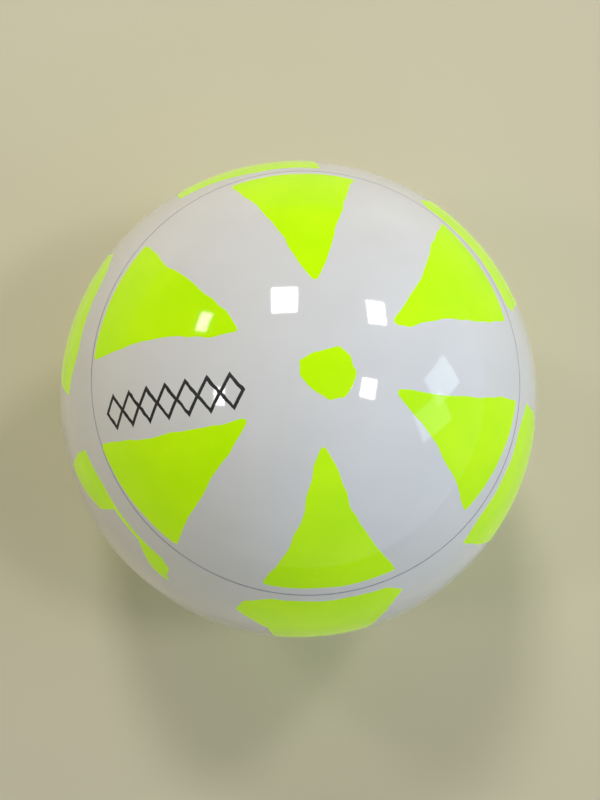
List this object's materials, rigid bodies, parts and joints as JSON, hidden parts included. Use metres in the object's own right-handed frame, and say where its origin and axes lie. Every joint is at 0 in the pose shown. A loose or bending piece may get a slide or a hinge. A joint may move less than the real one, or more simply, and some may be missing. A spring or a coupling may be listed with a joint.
{
  "type": "juggling ball",
  "caption": "Hard glossy stage ball for juggling and contact work: a white hollow sphere of welded half shells with fluorescent yellow-green dots, triangles and belt patches.",
  "frame": {"origin": "the ball's centre", "axes": "+Z through the upper pole dot, square to the welded equator; +X through the white spoke that carries the printed mark"},
  "size_m": [0.1, 0.1, 0.1],
  "materials": {
    "shell": "smooth high-gloss white",
    "weld": "sanded and polished weld bead, white",
    "fluorescent": "fluorescent yellow-green under a gloss coat, hand-masked edges",
    "ink": "matte black print"
  },
  "bodies": {
    "root": {"upper_shell": "shell", "lower_shell": "shell", "seam_weld": "weld", "upper_dot": "fluorescent", "lower_dot": "fluorescent", "upper_triangle_1": "fluorescent", "upper_triangle_2": "fluorescent", "upper_triangle_3": "fluorescent", "upper_triangle_4": "fluorescent", "upper_triangle_5": "fluorescent", "upper_triangle_6": "fluorescent", "lower_triangle_1": "fluorescent", "lower_triangle_2": "fluorescent", "lower_triangle_3": "fluorescent", "lower_triangle_4": "fluorescent", "lower_triangle_5": "fluorescent", "lower_triangle_6": "fluorescent", "upper_belt_patch_1": "fluorescent", "upper_belt_patch_2": "fluorescent", "upper_belt_patch_3": "fluorescent", "upper_belt_patch_4": "fluorescent", "upper_belt_patch_5": "fluorescent", "upper_belt_patch_6": "fluorescent", "lower_belt_patch_1": "fluorescent", "lower_belt_patch_2": "fluorescent", "lower_belt_patch_3": "fluorescent", "lower_belt_patch_4": "fluorescent", "lower_belt_patch_5": "fluorescent", "lower_belt_patch_6": "fluorescent", "printed_mark": "ink"}
  },
  "joints": []
}
